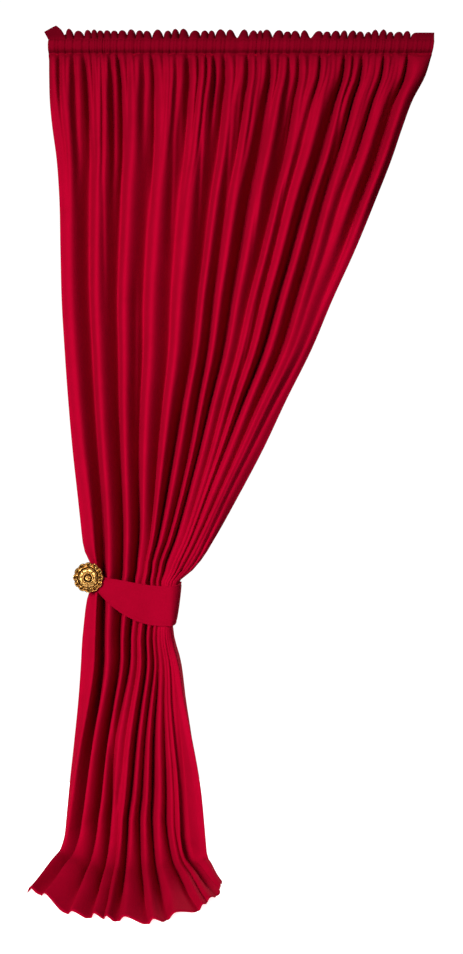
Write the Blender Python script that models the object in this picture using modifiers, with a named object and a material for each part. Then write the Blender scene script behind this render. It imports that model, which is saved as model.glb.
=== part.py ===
"""A velvet curtain, gathered on a rod pocket and drawn aside by a tieback to a rosette holdback.

Metres, +Z up. The origin is on the axis of the empty rod pocket, at the middle of the
heading. +X runs along the pocket, +Y points into the wall, and the cloth trails on a
floor at FLOOR_Z.
"""

import math

import bmesh
import bpy
import numpy as np

# Overall sizes
FLOOR_Z = -2.200
WALL_Y = 0.080
CLOTH = 0.002
SEAM_GAP = 0.0003

# Heading
HEADING_LEFT = -0.521
HEADING_RIGHT = 0.520
HEADING_BOTTOM_Z = -0.020
LOWER_STITCH_Z = -0.0165
UPPER_STITCH_Z = 0.0195
STITCHED_HALF_DEPTH = 0.0030
FRILL_TOP_Z = 0.0375
FRILL_TOP_BACK = 0.0015
FRILL_SPREAD = 1.6
RUFFLE_RISE = 0.0060
RUFFLE_OUT = 0.0035
POCKET_HALF_DEPTH = 0.0140
POCKET_HALF_HEIGHT = 0.0110
POCKET_LOW_SHARE = 0.8
POCKET_BACK_SHARE = 0.5
POCKET_CORNER = 0.0010
POCKET_PEAK = 0.0055
LAST_RUFFLE_WAVE = 0.2
UNEVEN_RISE = 0.0012
UNEVEN_PACE = 9.7
FLAP_RISE = 0.0015
FLAP_REACH = 0.020
SAMPLES_PER_RUFFLE = 3

# Panel
SAMPLES_PER_PLEAT = 3
PANEL_TOP_DROP = -HEADING_BOTTOM_Z + SEAM_GAP
ROW_DROPS = (PANEL_TOP_DROP, 0.030, 0.048, 0.085, 0.15, 0.26, 0.41, 0.60, 0.80, 1.00, 1.20, 1.31,
             1.39, 1.415, 1.445, 1.485, 1.55, 1.62, 1.74, 1.90)
BEND_ANGLES = (0, 30, 60, 90)
TRAIL_SHARES = (0.5, 1.0)
CROWDED_WIDTH = 0.003
ROOMY_WIDTH = 0.022
CREST_AT = 0.40
NARROW_AT = 0.14
FLOOR_LEAN = 0.10
FAN_DROPS = (1.62, 2.02)
TRAIL_DEPTH = 0.020
HEM_BEYOND = 0.10
PINCH_HALF_HEIGHT = 0.045
PINCH_WIDTH = 0.050
EDGE_CLEAR_OF_STEM = 0.0125

# Left and right edge of the hanging cloth at each drop below the rod
EDGE_TABLE = (
    # drop, left, right
    (0.02, -0.521, 0.514),
    (0.08, -0.520, 0.495),
    (0.14, -0.517, 0.463),
    (0.22, -0.509, 0.433),
    (0.30, -0.498, 0.406),
    (0.41, -0.490, 0.363),
    (0.55, -0.487, 0.306),
    (0.68, -0.484, 0.247),
    (0.82, -0.476, 0.188),
    (0.95, -0.467, 0.123),
    (1.09, -0.455, 0.057),
    (1.22, -0.441, -0.012),
    (1.33, -0.430, -0.074),
    (1.39, -0.425, -0.112),
    (1.415, -0.423, -0.134),
    (1.445, -0.421, -0.170),
    (1.485, -0.420, -0.180),
    (1.55, -0.425, -0.187),
    (1.60, -0.430, -0.182),
    (1.66, -0.433, -0.166),
    (1.76, -0.440, -0.150),
    (1.87, -0.451, -0.128),
    (1.98, -0.463, -0.109),
    (2.09, -0.474, -0.096),
    (2.20, -0.485, -0.086),
)

# Depth of the main folds, of the small pleats under the heading, and how far the middle
# of the folds lies towards the wall
DEPTH_TABLE = (
    # drop, folds, pleats, towards wall
    (0.02, 0.002, 0.010, 0.000),
    (0.03, 0.003, 0.011, 0.000),
    (0.05, 0.024, 0.018, 0.000),
    (0.09, 0.044, 0.018, 0.000),
    (0.15, 0.058, 0.014, 0.000),
    (0.26, 0.066, 0.009, 0.000),
    (0.41, 0.068, 0.003, 0.000),
    (0.60, 0.068, 0.000, 0.001),
    (0.80, 0.067, 0.000, 0.002),
    (1.20, 0.068, 0.000, 0.006),
    (1.39, 0.072, 0.000, 0.008),
    (1.55, 0.072, 0.000, 0.008),
    (1.74, 0.077, 0.000, 0.004),
    (1.90, 0.078, 0.000, 0.000),
    (2.10, 0.070, 0.000, 0.000),
)

# Each line is where one valley between folds runs, as a share of the cloth's width from
# its left edge. The first and last lines are the side hems.
PLACE_DROPS = (0.02, 0.41, 0.82, 1.22, 1.33, 1.40, 1.46, 1.60, 1.87, 2.09)
VALLEY_PLACES = (
    (0.000, 0.000, 0.000, 0.000, 0.000, 0.000, 0.000, 0.000, 0.000, 0.000),
    (0.100, 0.090, 0.102, 0.132, 0.145, 0.156, 0.170, 0.190, 0.142, 0.107),
    (0.190, 0.190, 0.207, 0.264, 0.292, 0.318, 0.378, 0.383, 0.267, 0.221),
    (0.280, 0.280, 0.313, 0.377, 0.422, 0.456, 0.530, 0.510, 0.365, 0.318),
    (0.375, 0.373, 0.419, 0.475, 0.512, 0.537, 0.622, 0.600, 0.440, 0.385),
    (0.470, 0.475, 0.516, 0.547, 0.570, 0.592, 0.708, 0.685, 0.520, 0.443),
    (0.530, 0.530, 0.577, 0.629, 0.644, 0.656, 0.780, 0.765, 0.600, 0.525),
    (0.590, 0.598, 0.642, 0.679, 0.700, 0.717, 0.836, 0.815, 0.660, 0.618),
    (0.665, 0.677, 0.700, 0.742, 0.763, 0.776, 0.876, 0.862, 0.757, 0.721),
    (0.720, 0.718, 0.748, 0.775, 0.792, 0.805, 0.898, 0.890, 0.790, 0.765),
    (0.785, 0.780, 0.805, 0.805, 0.822, 0.836, 0.920, 0.918, 0.825, 0.807),
    (0.830, 0.835, 0.878, 0.868, 0.874, 0.884, 0.944, 0.942, 0.890, 0.880),
    (0.885, 0.890, 0.925, 0.900, 0.908, 0.919, 0.963, 0.962, 0.930, 0.925),
    (0.945, 0.956, 0.967, 0.937, 0.946, 0.959, 0.982, 0.982, 0.968, 0.965),
    (1.000, 1.000, 1.000, 1.000, 1.000, 1.000, 1.000, 1.000, 1.000, 1.000),
)

# How deep each of those valleys is, as a share of the fold depth at that drop
VALLEY_DROPS = (0.06, 0.41, 0.82, 1.22, 1.40, 1.60, 1.87, 2.09, 2.30)
VALLEY_DEPTHS = (
    (0.30, 0.30, 0.30, 0.35, 0.40, 0.40, 0.35, 0.35, 0.60),
    (0.90, 0.90, 0.90, 0.90, 0.90, 1.10, 1.00, 0.90, 0.90),
    (1.00, 1.00, 1.00, 1.00, 1.00, 0.90, 0.90, 0.95, 0.95),
    (0.80, 0.75, 0.90, 0.90, 1.00, 0.90, 0.30, 0.80, 0.90),
    (0.80, 0.75, 0.80, 0.60, 0.25, 0.20, 0.15, 0.10, 0.40),
    (1.00, 1.00, 1.00, 1.00, 1.00, 0.80, 0.90, 1.00, 0.95),
    (0.40, 0.60, 0.90, 1.00, 0.60, 0.80, 0.55, 0.90, 0.95),
    (0.80, 1.00, 1.00, 1.00, 1.00, 0.30, 0.60, 0.80, 0.90),
    (0.70, 1.00, 0.40, 0.60, 0.30, 0.60, 0.80, 0.85, 1.00),
    (0.30, 0.45, 0.50, 0.30, 0.25, 0.20, 0.15, 0.15, 0.30),
    (1.00, 1.00, 1.00, 1.00, 0.90, 0.80, 0.60, 0.85, 0.95),
    (0.80, 0.80, 1.00, 0.90, 0.80, 0.50, 0.16, 0.14, 0.15),
    (0.70, 0.40, 0.15, 0.20, 0.30, 0.40, 0.40, 0.36, 0.30),
    (0.90, 0.90, 0.90, 0.90, 0.80, 0.65, 0.66, 0.62, 0.50),
    (0.40, 0.40, 0.45, 0.50, 0.60, 0.85, 0.95, 0.90, 0.70),
)

# How the folds lean to the left, and how fast they fall away behind their crests
LEAN_TABLE = (
    # drop, lean, fall
    (1.20, 0.56, 0.95),
    (1.50, 0.50, 1.00),
    (1.60, 0.38, 1.05),
    (1.97, 0.40, 1.00),
    (2.20, 0.90, 0.60),
)

# Right of the big fold the cloth below the tie is plain: its crests sink into one slope
PLAIN_FROM_FOLD = 10
PLAIN_TABLE = (
    # drop, share of each crest that is left
    (1.56, 1.00),
    (1.66, 0.60),
    (1.80, 0.12),
    (2.20, 0.04),
)

# How many small pleats and frill ruffles there are from each of those lines to the next
PLEATS = (3, 4, 3, 3, 4, 2, 2, 3, 2, 2, 2, 2, 2, 1)
RUFFLES = (4, 5, 4, 4, 4, 2, 3, 3, 2, 3, 2, 3, 3, 2)

# Where each of those lines reaches the bottom hem on the floor, how far behind the rod
# it comes down, and the radius in which it turns onto the floor
HEM_TABLE = (
    # hem x, hem y, y above the floor, bend radius
    (-0.545, -0.203, 0.045, 0.060),
    (-0.510, -0.215, 0.034, 0.080),
    (-0.430, -0.322, 0.018, 0.110),
    (-0.369, -0.347, 0.006, 0.135),
    (-0.335, -0.362, 0.002, 0.145),
    (-0.300, -0.364, 0.000, 0.150),
    (-0.228, -0.380, 0.000, 0.150),
    (-0.182, -0.358, 0.000, 0.140),
    (-0.109, -0.308, -0.002, 0.115),
    (-0.088, -0.275, -0.006, 0.100),
    (-0.066, -0.222, -0.012, 0.060),
    (-0.058, -0.190, -0.018, 0.050),
    (-0.055, -0.168, -0.023, 0.042),
    (-0.053, -0.150, -0.028, 0.036),
    (-0.052, -0.132, -0.034, 0.030),
)

# Holdback
STEM_X = -0.409
STEM_Z = -1.4262
STEM_RADIUS = 0.0055
FLANGE_RADIUS = 0.024
FLANGE_THICKNESS = 0.005
COLLAR = 0.004
ROSETTE_BACK_Y = -0.0370
STEM_TURNS = 32
ROSETTE_LOBES = 12
STEPS_PER_LOBE = 4

# The rosette's profile from its back face to the top of its boss
ROSETTE_PROFILE = (
    # radius, height in front of the back face, share of the radius that the lobes cut in
    (0.0330, 0.0000, 0.06),
    (0.0395, 0.0035, 0.07),
    (0.0385, 0.0075, 0.07),
    (0.0300, 0.0095, 0.05),
    (0.0235, 0.0080, 0.06),
    (0.0225, 0.0125, 0.09),
    (0.0150, 0.0135, 0.06),
    (0.0105, 0.0115, 0.00),
    (0.0095, 0.0165, 0.00),
    (0.0050, 0.0195, 0.00),
)
ROSETTE_TOP = 0.0200
ROSETTE_SHARP_ANGLE = 40

# Tieback
TIE_CLOTH = 0.0025
TIE_FRONT_Y = -0.0310
TIE_BACK_Y = 0.0490
TIE_END_X = -0.432
TIE_TURN_X = -0.193
TIE_TURN_REACH = 0.0300
TIE_SLACK = 0.0035
TIE_LEAN = 0.13
TIE_TOP_DROP = 1.445
TIE_GRIP_DROPS = (1.37, 1.43, 1.57, 1.64)
GRIP_LIMIT = 0.97
TIE_STRAIGHT_STEPS = 9
TIE_TURN_STEPS = 12
TIE_HEIGHT_STEPS = 4
HOLE_CLEARANCE = 0.0003
CUTTER_LENGTH = 0.20

# Top and bottom edge of the band at each distance along it from either end
TIE_TABLE = (
    # distance, top z, bottom z
    (0.000, -1.412, -1.440),
    (0.012, -1.406, -1.447),
    (0.046, -1.420, -1.466),
    (0.065, -1.427, -1.486),
    (0.100, -1.433, -1.516),
    (0.148, -1.442, -1.543),
    (0.196, -1.449, -1.556),
    (0.242, -1.451, -1.558),
    (0.298, -1.445, -1.555),
)


def clear_scene():
    for obj in list(bpy.data.objects):
        bpy.data.objects.remove(obj)


def collection(name):
    found = bpy.data.collections.new(name)
    bpy.context.scene.collection.children.link(found)
    return found


def finish_material(name, colour, roughness, metallic=0.0):
    material = bpy.data.materials.new(name)
    material.use_nodes = True
    shader = material.node_tree.nodes["Principled BSDF"]
    shader.inputs["Base Color"].default_value = (*colour, 1.0)
    shader.inputs["Roughness"].default_value = roughness
    shader.inputs["Metallic"].default_value = metallic
    return material


def add_object(name, mesh, material, parts):
    obj = bpy.data.objects.new(name, mesh)
    mesh.materials.append(material)
    parts.objects.link(obj)
    return obj


def smooth(xs, ys, x):
    """The table's value at x, on a smooth curve through its points."""
    xs = np.asarray(xs, float)
    ys = np.asarray(ys, float)
    x = min(max(x, xs[0]), xs[-1])
    i = min(int(np.searchsorted(xs, x, side="right")) - 1, len(xs) - 2)
    slopes = np.gradient(ys, xs, axis=0)
    step = xs[i + 1] - xs[i]
    t = (x - xs[i]) / step
    start = (1 + 2 * t) * (1 - t) ** 2 * ys[i] + t * (1 - t) ** 2 * step * slopes[i]
    end = t * t * (3 - 2 * t) * ys[i + 1] + t * t * (t - 1) * step * slopes[i + 1]
    return start + end


def ease(q):
    """0 to 1 with level ends."""
    return 0.5 - 0.5 * np.cos(np.pi * np.clip(q, 0, 1))


def cloth_columns(counts, samples):
    """The fold that each column of the cloth lies in, and how far across that fold it is."""
    folds, phases = [], []
    for fold, count in enumerate(counts):
        for k in range(count * samples):
            folds.append(fold)
            phases.append(k / (count * samples))
    return np.array(folds + [len(counts) - 1]), np.array(phases + [1.0])


def valley_lines(drop):
    """x of every valley line, the valleys' depths and the tables' depths at this drop."""
    edges = np.array(EDGE_TABLE)
    left, right = smooth(edges[:, 0], edges[:, 1:], drop)
    places = smooth(PLACE_DROPS, np.transpose(VALLEY_PLACES), drop)
    valleys = smooth(VALLEY_DROPS, np.transpose(VALLEY_DEPTHS), drop)
    depths = np.array(DEPTH_TABLE)
    return left + (right - left) * places, valleys, smooth(depths[:, 0], depths[:, 1:], drop)


def fold_section(drop, fold, phase):
    """x of each column at this drop, and its relief: 0 in a full valley, 1 on a crest."""
    lines, valleys, (depth, _, _) = valley_lines(drop)
    widths = np.diff(lines)
    beside = np.minimum(np.append(widths[0], widths), np.append(widths, widths[-1]))
    valleys = valleys * ease((beside - CROWDED_WIDTH) / (ROOMY_WIDTH - CROWDED_WIDTH))
    width = widths[fold]
    deep = 0.5 * (valleys[fold] + valleys[fold + 1])
    table = np.array(LEAN_TABLE)
    turn = 2 * np.pi
    lean = np.interp(drop, table[:, 0], table[:, 1]) * deep * np.minimum(1, depth / width) / turn
    fall = np.interp(drop, table[:, 0], table[:, 2])
    shift = np.sin(turn * (phase - NARROW_AT)) + math.sin(turn * NARROW_AT)
    x = lines[fold] + width * (phase - lean * shift)
    plain = np.array(PLAIN_TABLE)
    kept = np.where(fold >= PLAIN_FROM_FOLD, np.interp(drop, plain[:, 0], plain[:, 1]), 1.0)
    before, after = 1 - valleys[fold], 1 - valleys[fold + 1]
    level = before + (after - before) * ease(phase)
    rising = before + (1 - before) * ease(phase / CREST_AT)
    falling = after + (1 - after) * ease((1 - phase) / (1 - CREST_AT)) ** fall
    return x, level + kept * (np.where(phase < CREST_AT, rising, falling) - level)


def leaning(phase):
    """Phase across a floor fold, with its crest drawn to the left."""
    turn = 2 * np.pi
    return phase - FLOOR_LEAN * (np.sin(turn * (phase - NARROW_AT)) + math.sin(turn * NARROW_AT))


def drawn_in(drop, x):
    """The left edge steps aside for the holdback's stem, and no more than the first fold goes with it."""
    past = (drop + STEM_Z) / PINCH_HALF_HEIGHT
    share = ease(1 - (x - x.min()) / PINCH_WIDTH)
    return x + (STEM_X + EDGE_CLEAR_OF_STEM - x.min()) * math.exp(-past * past) * share


def across(table_column, fold, phase):
    """A column of HEM_TABLE at each column of the cloth."""
    values = np.array(HEM_TABLE)[:, table_column]
    lines = np.arange(len(values))
    return np.array([smooth(lines, values, f + p) for f, p in zip(fold, phase)])


class Trail:
    """Where each column of the cloth comes down, and the way it runs out on the floor."""

    def __init__(self, fold, phase):
        x, _ = fold_section(-FLOOR_Z, fold, phase)
        self.foot = np.column_stack([x, across(2, fold, phase)])
        hem_phase = leaning(phase)
        self.hem = np.column_stack([across(0, fold, hem_phase), across(1, fold, hem_phase)])
        run = self.hem - self.foot
        self.length = np.linalg.norm(run, axis=1)
        self.heading = run / self.length[:, None]
        self.radius = across(3, fold, phase)


def gripped(drop, x):
    """How much of the folds' depth is left where the tieback rounds off the bundle's right end."""
    above, top, bottom, below = TIE_GRIP_DROPS
    grip = ease((drop - above) / (top - above)) * ease((below - drop) / (below - bottom))
    turn_x = TIE_TURN_X - TIE_LEAN * (drop - TIE_TOP_DROP)
    past = np.clip((x - turn_x) / (TIE_TURN_REACH - TIE_SLACK), 0, GRIP_LIMIT)
    return 1 - grip * (1 - np.sqrt(1 - past ** 2))


def hanging_row(drop, fold, phase, trail):
    """The points of one level row of the cloth."""
    x, relief = fold_section(drop, fold, phase)
    x = drawn_in(drop, x)
    _, _, (depth, pleat_depth, towards_wall) = valley_lines(drop)
    pleat = 0.5 - 0.5 * np.cos(2 * np.pi * np.array(PLEATS)[fold] * phase)
    out = (relief - 0.5) * depth + (pleat - 0.5) * pleat_depth
    out = out * gripped(drop, x)
    fan = ease((drop - FAN_DROPS[0]) / (FAN_DROPS[1] - FAN_DROPS[0]))
    facing = (1 - fan) * np.array([0.0, -1.0]) + fan * trail.heading
    facing /= np.linalg.norm(facing, axis=1)[:, None]
    y = (1 - fan) * towards_wall + fan * trail.foot[:, 1]
    plan = np.column_stack([x, y]) + facing * out[:, None]
    return np.column_stack([plan, np.full(len(x), -drop)])


def trailing_row(angle, share, fold, phase, trail):
    """The points of one row in the turn onto the floor, or at a share of the run beyond it."""
    foot_drop = -FLOOR_Z
    _, relief = fold_section(foot_drop + HEM_BEYOND * share, fold, phase)
    turned = math.radians(angle)
    flat_run = share * (trail.length - trail.radius)
    forward = trail.radius * (1 - math.cos(turned)) + flat_run
    height = 0.5 * (TRAIL_DEPTH + CLOTH) + trail.radius * (1 - math.sin(turned))
    _, _, (depth, _, _) = valley_lines(foot_drop)
    depth = depth + (TRAIL_DEPTH - depth) * math.sin(turned)
    out = (relief - 0.5) * depth
    plan = trail.foot + trail.heading * (forward + out * math.cos(turned))[:, None]
    return np.column_stack([plan, FLOOR_Z + height + out * math.sin(turned)])


def panel_rows():
    fold, phase = cloth_columns(PLEATS, SAMPLES_PER_PLEAT)
    trail = Trail(fold, phase)
    rows = [hanging_row(drop, fold, phase, trail) for drop in ROW_DROPS]
    rows += [trailing_row(angle, 0, fold, phase, trail) for angle in BEND_ANGLES]
    rows += [trailing_row(90, share, fold, phase, trail) for share in TRAIL_SHARES]
    return np.array(rows)


def sheet_mesh(name, rows):
    """A mesh of one open sheet through rows of points."""
    down, along = rows.shape[:2]
    bm = bmesh.new()
    bmesh.ops.create_grid(bm, x_segments=along - 1, y_segments=down - 1, size=1)
    bm.verts.ensure_lookup_table()
    for vert in bm.verts:
        i = round((1 - vert.co.y) / 2 * (down - 1))
        j = round((vert.co.x + 1) / 2 * (along - 1))
        vert.co = rows[i, j]
    mesh = bpy.data.meshes.new(name)
    bm.to_mesh(mesh)
    bm.free()
    return mesh


def thicken(obj, thickness):
    solidify = obj.modifiers.new("cloth thickness", "SOLIDIFY")
    solidify.thickness = thickness
    solidify.offset = 0


def add_panel(material, parts):
    panel = add_object("panel", sheet_mesh("panel", panel_rows()), material, parts)
    thicken(panel, CLOTH)
    panel.data.shade_smooth()


def heading_outer(wave, rise):
    """The heading's outer section in Y and Z where the ruffle's wave is -1 (dip) to 1 (crest)."""
    out = -RUFFLE_OUT * wave
    back = POCKET_BACK_SHARE * out
    half = POCKET_HALF_DEPTH
    top = FRILL_TOP_Z + RUFFLE_RISE * wave + rise
    return (
        (-CLOTH + out, HEADING_BOTTOM_Z),
        (-STITCHED_HALF_DEPTH + out, LOWER_STITCH_Z),
        (-half + POCKET_LOW_SHARE * out, -POCKET_HALF_HEIGHT),
        (-half + out, POCKET_HALF_HEIGHT),
        (-STITCHED_HALF_DEPTH + out, UPPER_STITCH_Z),
        (-STITCHED_HALF_DEPTH + FRILL_SPREAD * out, top),
        (FRILL_TOP_BACK + FRILL_SPREAD * out, top),
        (STITCHED_HALF_DEPTH + back, UPPER_STITCH_Z),
        (half + back, POCKET_HALF_HEIGHT),
        (half + back, -POCKET_HALF_HEIGHT),
        (CLOTH + out, HEADING_BOTTOM_Z),
    )


def heading_inner(wave):
    """The empty pocket's section at the same place."""
    out = -RUFFLE_OUT * wave
    depth = POCKET_HALF_DEPTH - CLOTH
    height = POCKET_HALF_HEIGHT - POCKET_CORNER
    return (
        (0.0, HEADING_BOTTOM_Z + POCKET_PEAK),
        (-depth + POCKET_LOW_SHARE * out, -height),
        (-depth + out, height),
        (0.0, POCKET_HALF_HEIGHT + POCKET_PEAK),
        (depth + POCKET_BACK_SHARE * out, height),
        (depth + POCKET_BACK_SHARE * out, -height),
    )


def add_heading(material, parts):
    """A loft of hollow sections along the rod: nothing simpler gives a ruffled tube with a frill."""
    fold, phase = cloth_columns(RUFFLES, SAMPLES_PER_RUFFLE)
    lines = HEADING_LEFT + (HEADING_RIGHT - HEADING_LEFT) * np.array(VALLEY_PLACES)[:, 0]
    xs = lines[fold] + (lines[fold + 1] - lines[fold]) * phase
    waves = -np.cos(2 * np.pi * np.array(RUFFLES)[fold] * phase)
    waves[fold == len(RUFFLES) - 1] = LAST_RUFFLE_WAVE
    rises = UNEVEN_RISE * np.sin(UNEVEN_PACE * np.arange(len(xs)))
    rises = rises + FLAP_RISE * np.exp(-(xs - xs[0]) / FLAP_REACH)
    bm = bmesh.new()
    loops = []
    for x, wave, rise in zip(xs, waves, rises):
        outer = [bm.verts.new((x, y, z)) for y, z in heading_outer(wave, rise)]
        inner = [bm.verts.new((x, y, z)) for y, z in heading_inner(wave)]
        loops.append((outer, inner))
    for (outer_a, inner_a), (outer_b, inner_b) in zip(loops, loops[1:]):
        join_loops(bm, outer_a, outer_b)
        join_loops(bm, inner_b, inner_a)
    for outer, inner in (loops[0], loops[-1]):
        edges = [bm.edges.get((a, b)) for ring in (outer, inner)
                 for a, b in zip(ring, ring[1:] + ring[:1])]
        bmesh.ops.triangle_fill(bm, edges=edges, use_beauty=True)
    bmesh.ops.recalc_face_normals(bm, faces=bm.faces)
    mesh = bpy.data.meshes.new("heading")
    bm.to_mesh(mesh)
    bm.free()
    add_object("heading", mesh, material, parts).data.shade_smooth()


def join_loops(bm, first, second):
    for i in range(len(first)):
        j = (i + 1) % len(first)
        bm.faces.new((first[i], second[i], second[j], first[j]))


def tie_path():
    """The band's path in plan from its front end, round the right of the bundle, to its back end."""
    straight = np.linspace(TIE_END_X, TIE_TURN_X, TIE_STRAIGHT_STEPS + 1)
    angles = np.linspace(0, math.pi, TIE_TURN_STEPS + 1)[1:-1]
    middle = 0.5 * (TIE_FRONT_Y + TIE_BACK_Y)
    half = 0.5 * (TIE_BACK_Y - TIE_FRONT_Y)
    front = [(x, TIE_FRONT_Y, 0.0) for x in straight]
    turn = [(TIE_TURN_X + TIE_TURN_REACH * math.sin(a), middle - half * math.cos(a), math.sin(a))
            for a in angles]
    back = [(x, TIE_BACK_Y, 0.0) for x in straight[::-1]]
    return np.array(front + turn + back)


def tie_rows():
    path = tie_path()
    steps = np.linalg.norm(np.diff(path[:, :2], axis=0), axis=1)
    along = np.concatenate([[0], np.cumsum(steps)])
    near_end = np.minimum(along, along[-1] - along)
    table = np.array(TIE_TABLE)
    heights = np.array([smooth(table[:, 0], table[:, 1:], d) for d in near_end])
    rows = []
    for k in range(TIE_HEIGHT_STEPS + 1):
        z = heights[:, 0] + (heights[:, 1] - heights[:, 0]) * k / TIE_HEIGHT_STEPS
        x = path[:, 0] - TIE_LEAN * path[:, 2] * (heights[:, 0] - z)
        rows.append(np.column_stack([x, path[:, 1], z]))
    return np.array(rows)


def add_tieback(material, parts, cutters):
    band = add_object("tieback", sheet_mesh("tieback", tie_rows()), material, parts)
    thicken(band, TIE_CLOTH)
    bpy.ops.mesh.primitive_cylinder_add(
        vertices=STEM_TURNS, radius=STEM_RADIUS + HOLE_CLEARANCE, depth=CUTTER_LENGTH,
        location=(STEM_X, 0, STEM_Z), rotation=(math.pi / 2, 0, 0))
    buttonhole = bpy.context.object
    buttonhole.name = "buttonhole_cutter"
    buttonhole.hide_render = True
    buttonhole.display_type = "WIRE"
    for owner in buttonhole.users_collection:
        owner.objects.unlink(buttonhole)
    cutters.objects.link(buttonhole)
    cut = band.modifiers.new("buttonholes", "BOOLEAN")
    cut.object = buttonhole
    cut.operation = "DIFFERENCE"


def add_stem(material, parts):
    """A turned stem whose flange lies on the wall, built standing and then laid along the wall's normal."""
    length = WALL_Y - ROSETTE_BACK_Y - SEAM_GAP
    profile = (
        (0.0, length),
        (STEM_RADIUS, length),
        (STEM_RADIUS, FLANGE_THICKNESS + COLLAR),
        (STEM_RADIUS + COLLAR, FLANGE_THICKNESS),
        (FLANGE_RADIUS, FLANGE_THICKNESS),
        (FLANGE_RADIUS, 0.0),
        (0.0, 0.0),
    )
    mesh = bpy.data.meshes.new("holdback_stem")
    edges = [(i, i + 1) for i in range(len(profile) - 1)]
    mesh.from_pydata([(radius, 0, height) for radius, height in profile], edges, [])
    stem = add_object("holdback_stem", mesh, material, parts)
    screw = stem.modifiers.new("turning", "SCREW")
    screw.steps = STEM_TURNS
    screw.render_steps = STEM_TURNS
    screw.use_merge_vertices = True
    screw.merge_threshold = 0.00001
    stem.location = (STEM_X, WALL_Y, STEM_Z)
    stem.rotation_euler = (math.pi / 2, 0, 0)


def add_rosette(material, parts):
    """A cast rosette: rings whose radius follows the lobes, closed by a flat back and a boss."""
    steps = ROSETTE_LOBES * STEPS_PER_LOBE
    bm = bmesh.new()
    rings = []
    for radius, height, cut in ROSETTE_PROFILE:
        ring = []
        for k in range(steps):
            angle = 2 * math.pi * k / steps
            lobe = abs(math.cos(0.5 * ROSETTE_LOBES * angle))
            reach = radius * (1 - cut * (1 - lobe))
            place = (STEM_X + reach * math.cos(angle), ROSETTE_BACK_Y - height,
                     STEM_Z + reach * math.sin(angle))
            ring.append(bm.verts.new(place))
        rings.append(ring)
    for first, second in zip(rings, rings[1:]):
        join_loops(bm, first, second)
    bm.faces.new(rings[0])
    top = bm.verts.new((STEM_X, ROSETTE_BACK_Y - ROSETTE_TOP, STEM_Z))
    for k in range(steps):
        bm.faces.new((rings[-1][k], rings[-1][(k + 1) % steps], top))
    bmesh.ops.recalc_face_normals(bm, faces=bm.faces)
    mesh = bpy.data.meshes.new("holdback_rosette")
    bm.to_mesh(mesh)
    bm.free()
    rosette = add_object("holdback_rosette", mesh, material, parts)
    rosette.data.shade_smooth()
    rosette.data.set_sharp_from_angle(angle=math.radians(ROSETTE_SHARP_ANGLE))


def main():
    clear_scene()
    parts = collection("velvet curtain")
    cutters = collection("cutters")
    velvet = finish_material("crimson velvet", (0.45, 0.0, 0.025), 0.75)
    gilt = finish_material("antiqued gilt metal", (0.48, 0.27, 0.07), 0.4, metallic=1.0)
    add_heading(velvet, parts)
    add_panel(velvet, parts)
    add_tieback(velvet, parts, cutters)
    add_stem(gilt, parts)
    add_rosette(gilt, parts)


main()
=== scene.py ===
# %% [markdown]
# A crimson velvet curtain
# The curtain is one length of cotton velvet, gathered on a rod pocket and drawn aside by a crescent
# tieback, which hooks behind a cast brass rosette. The cells follow its making: the studio, the velvet,
# the folds, the heading, the tieback, the brass and the rosette. The solid model is loaded first, and
# each piece made here is a finer version of one of its solids, in the same place.

# %% Load the fixed frame
import math

import bmesh
import bpy
import numpy as np
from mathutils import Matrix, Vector


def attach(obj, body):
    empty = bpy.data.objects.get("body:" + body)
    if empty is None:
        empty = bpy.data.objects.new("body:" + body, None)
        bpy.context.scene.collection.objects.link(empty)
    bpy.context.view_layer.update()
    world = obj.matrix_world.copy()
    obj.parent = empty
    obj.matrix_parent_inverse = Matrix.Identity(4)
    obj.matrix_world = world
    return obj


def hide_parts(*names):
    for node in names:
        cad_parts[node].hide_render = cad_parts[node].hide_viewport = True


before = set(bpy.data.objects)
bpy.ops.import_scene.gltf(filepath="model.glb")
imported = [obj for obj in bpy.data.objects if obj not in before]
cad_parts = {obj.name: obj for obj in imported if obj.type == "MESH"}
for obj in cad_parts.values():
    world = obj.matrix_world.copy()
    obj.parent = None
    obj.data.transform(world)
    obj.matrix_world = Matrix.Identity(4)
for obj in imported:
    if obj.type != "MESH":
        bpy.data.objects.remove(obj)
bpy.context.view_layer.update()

# %% [markdown]
# The studio
# The camera stands level, 3.3 m in front of the rod and 1.3 m above the floor. Tilting it down would make
# the verticals lean, so its lens is shifted down instead, as a catalogue photographer would do.

# %% Camera
FLOOR_Z = -2.200
CAMERA_X = -0.027
CAMERA_DISTANCE = 3.30
CAMERA_HEIGHT = 1.298
FRAME_HEIGHT_PX = 954
HORIZON_PX = 381
METRES_PER_PX = 0.0027
SENSOR_MM = 36.0

camera_data = bpy.data.cameras.new("photo camera")
camera_data.sensor_width = SENSOR_MM
camera_data.lens = CAMERA_DISTANCE / METRES_PER_PX * SENSOR_MM / FRAME_HEIGHT_PX
camera_data.shift_y = (HORIZON_PX - FRAME_HEIGHT_PX / 2) / FRAME_HEIGHT_PX
camera = bpy.data.objects.new("photo camera", camera_data)
camera.location = (CAMERA_X, -CAMERA_DISTANCE, FLOOR_Z + CAMERA_HEIGHT)
camera.rotation_euler = (math.pi / 2, 0, 0)
scene = bpy.context.scene
scene.collection.objects.link(camera)
scene.camera = camera
scene.view_settings.view_transform = "Standard"
print("lens", round(camera_data.lens, 1), "mm, shift", round(camera_data.shift_y, 3))

# %% [markdown]
# Helpers for finishes
# A colour is written the way a paint chart gives it, as sRGB hex, and one function turns it into the
# linear numbers that the renderer works in. Another adds a shader node with its settings and its links.


# %% Colour and node helpers
def linear(hex_colour):
    """An sRGB hex colour as linear RGBA."""
    channels = [int(hex_colour[i:i + 2], 16) / 255 for i in (1, 3, 5)]
    return [c / 12.92 if c <= 0.04045 else ((c + 0.055) / 1.055) ** 2.4 for c in channels] + [1.0]


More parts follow.
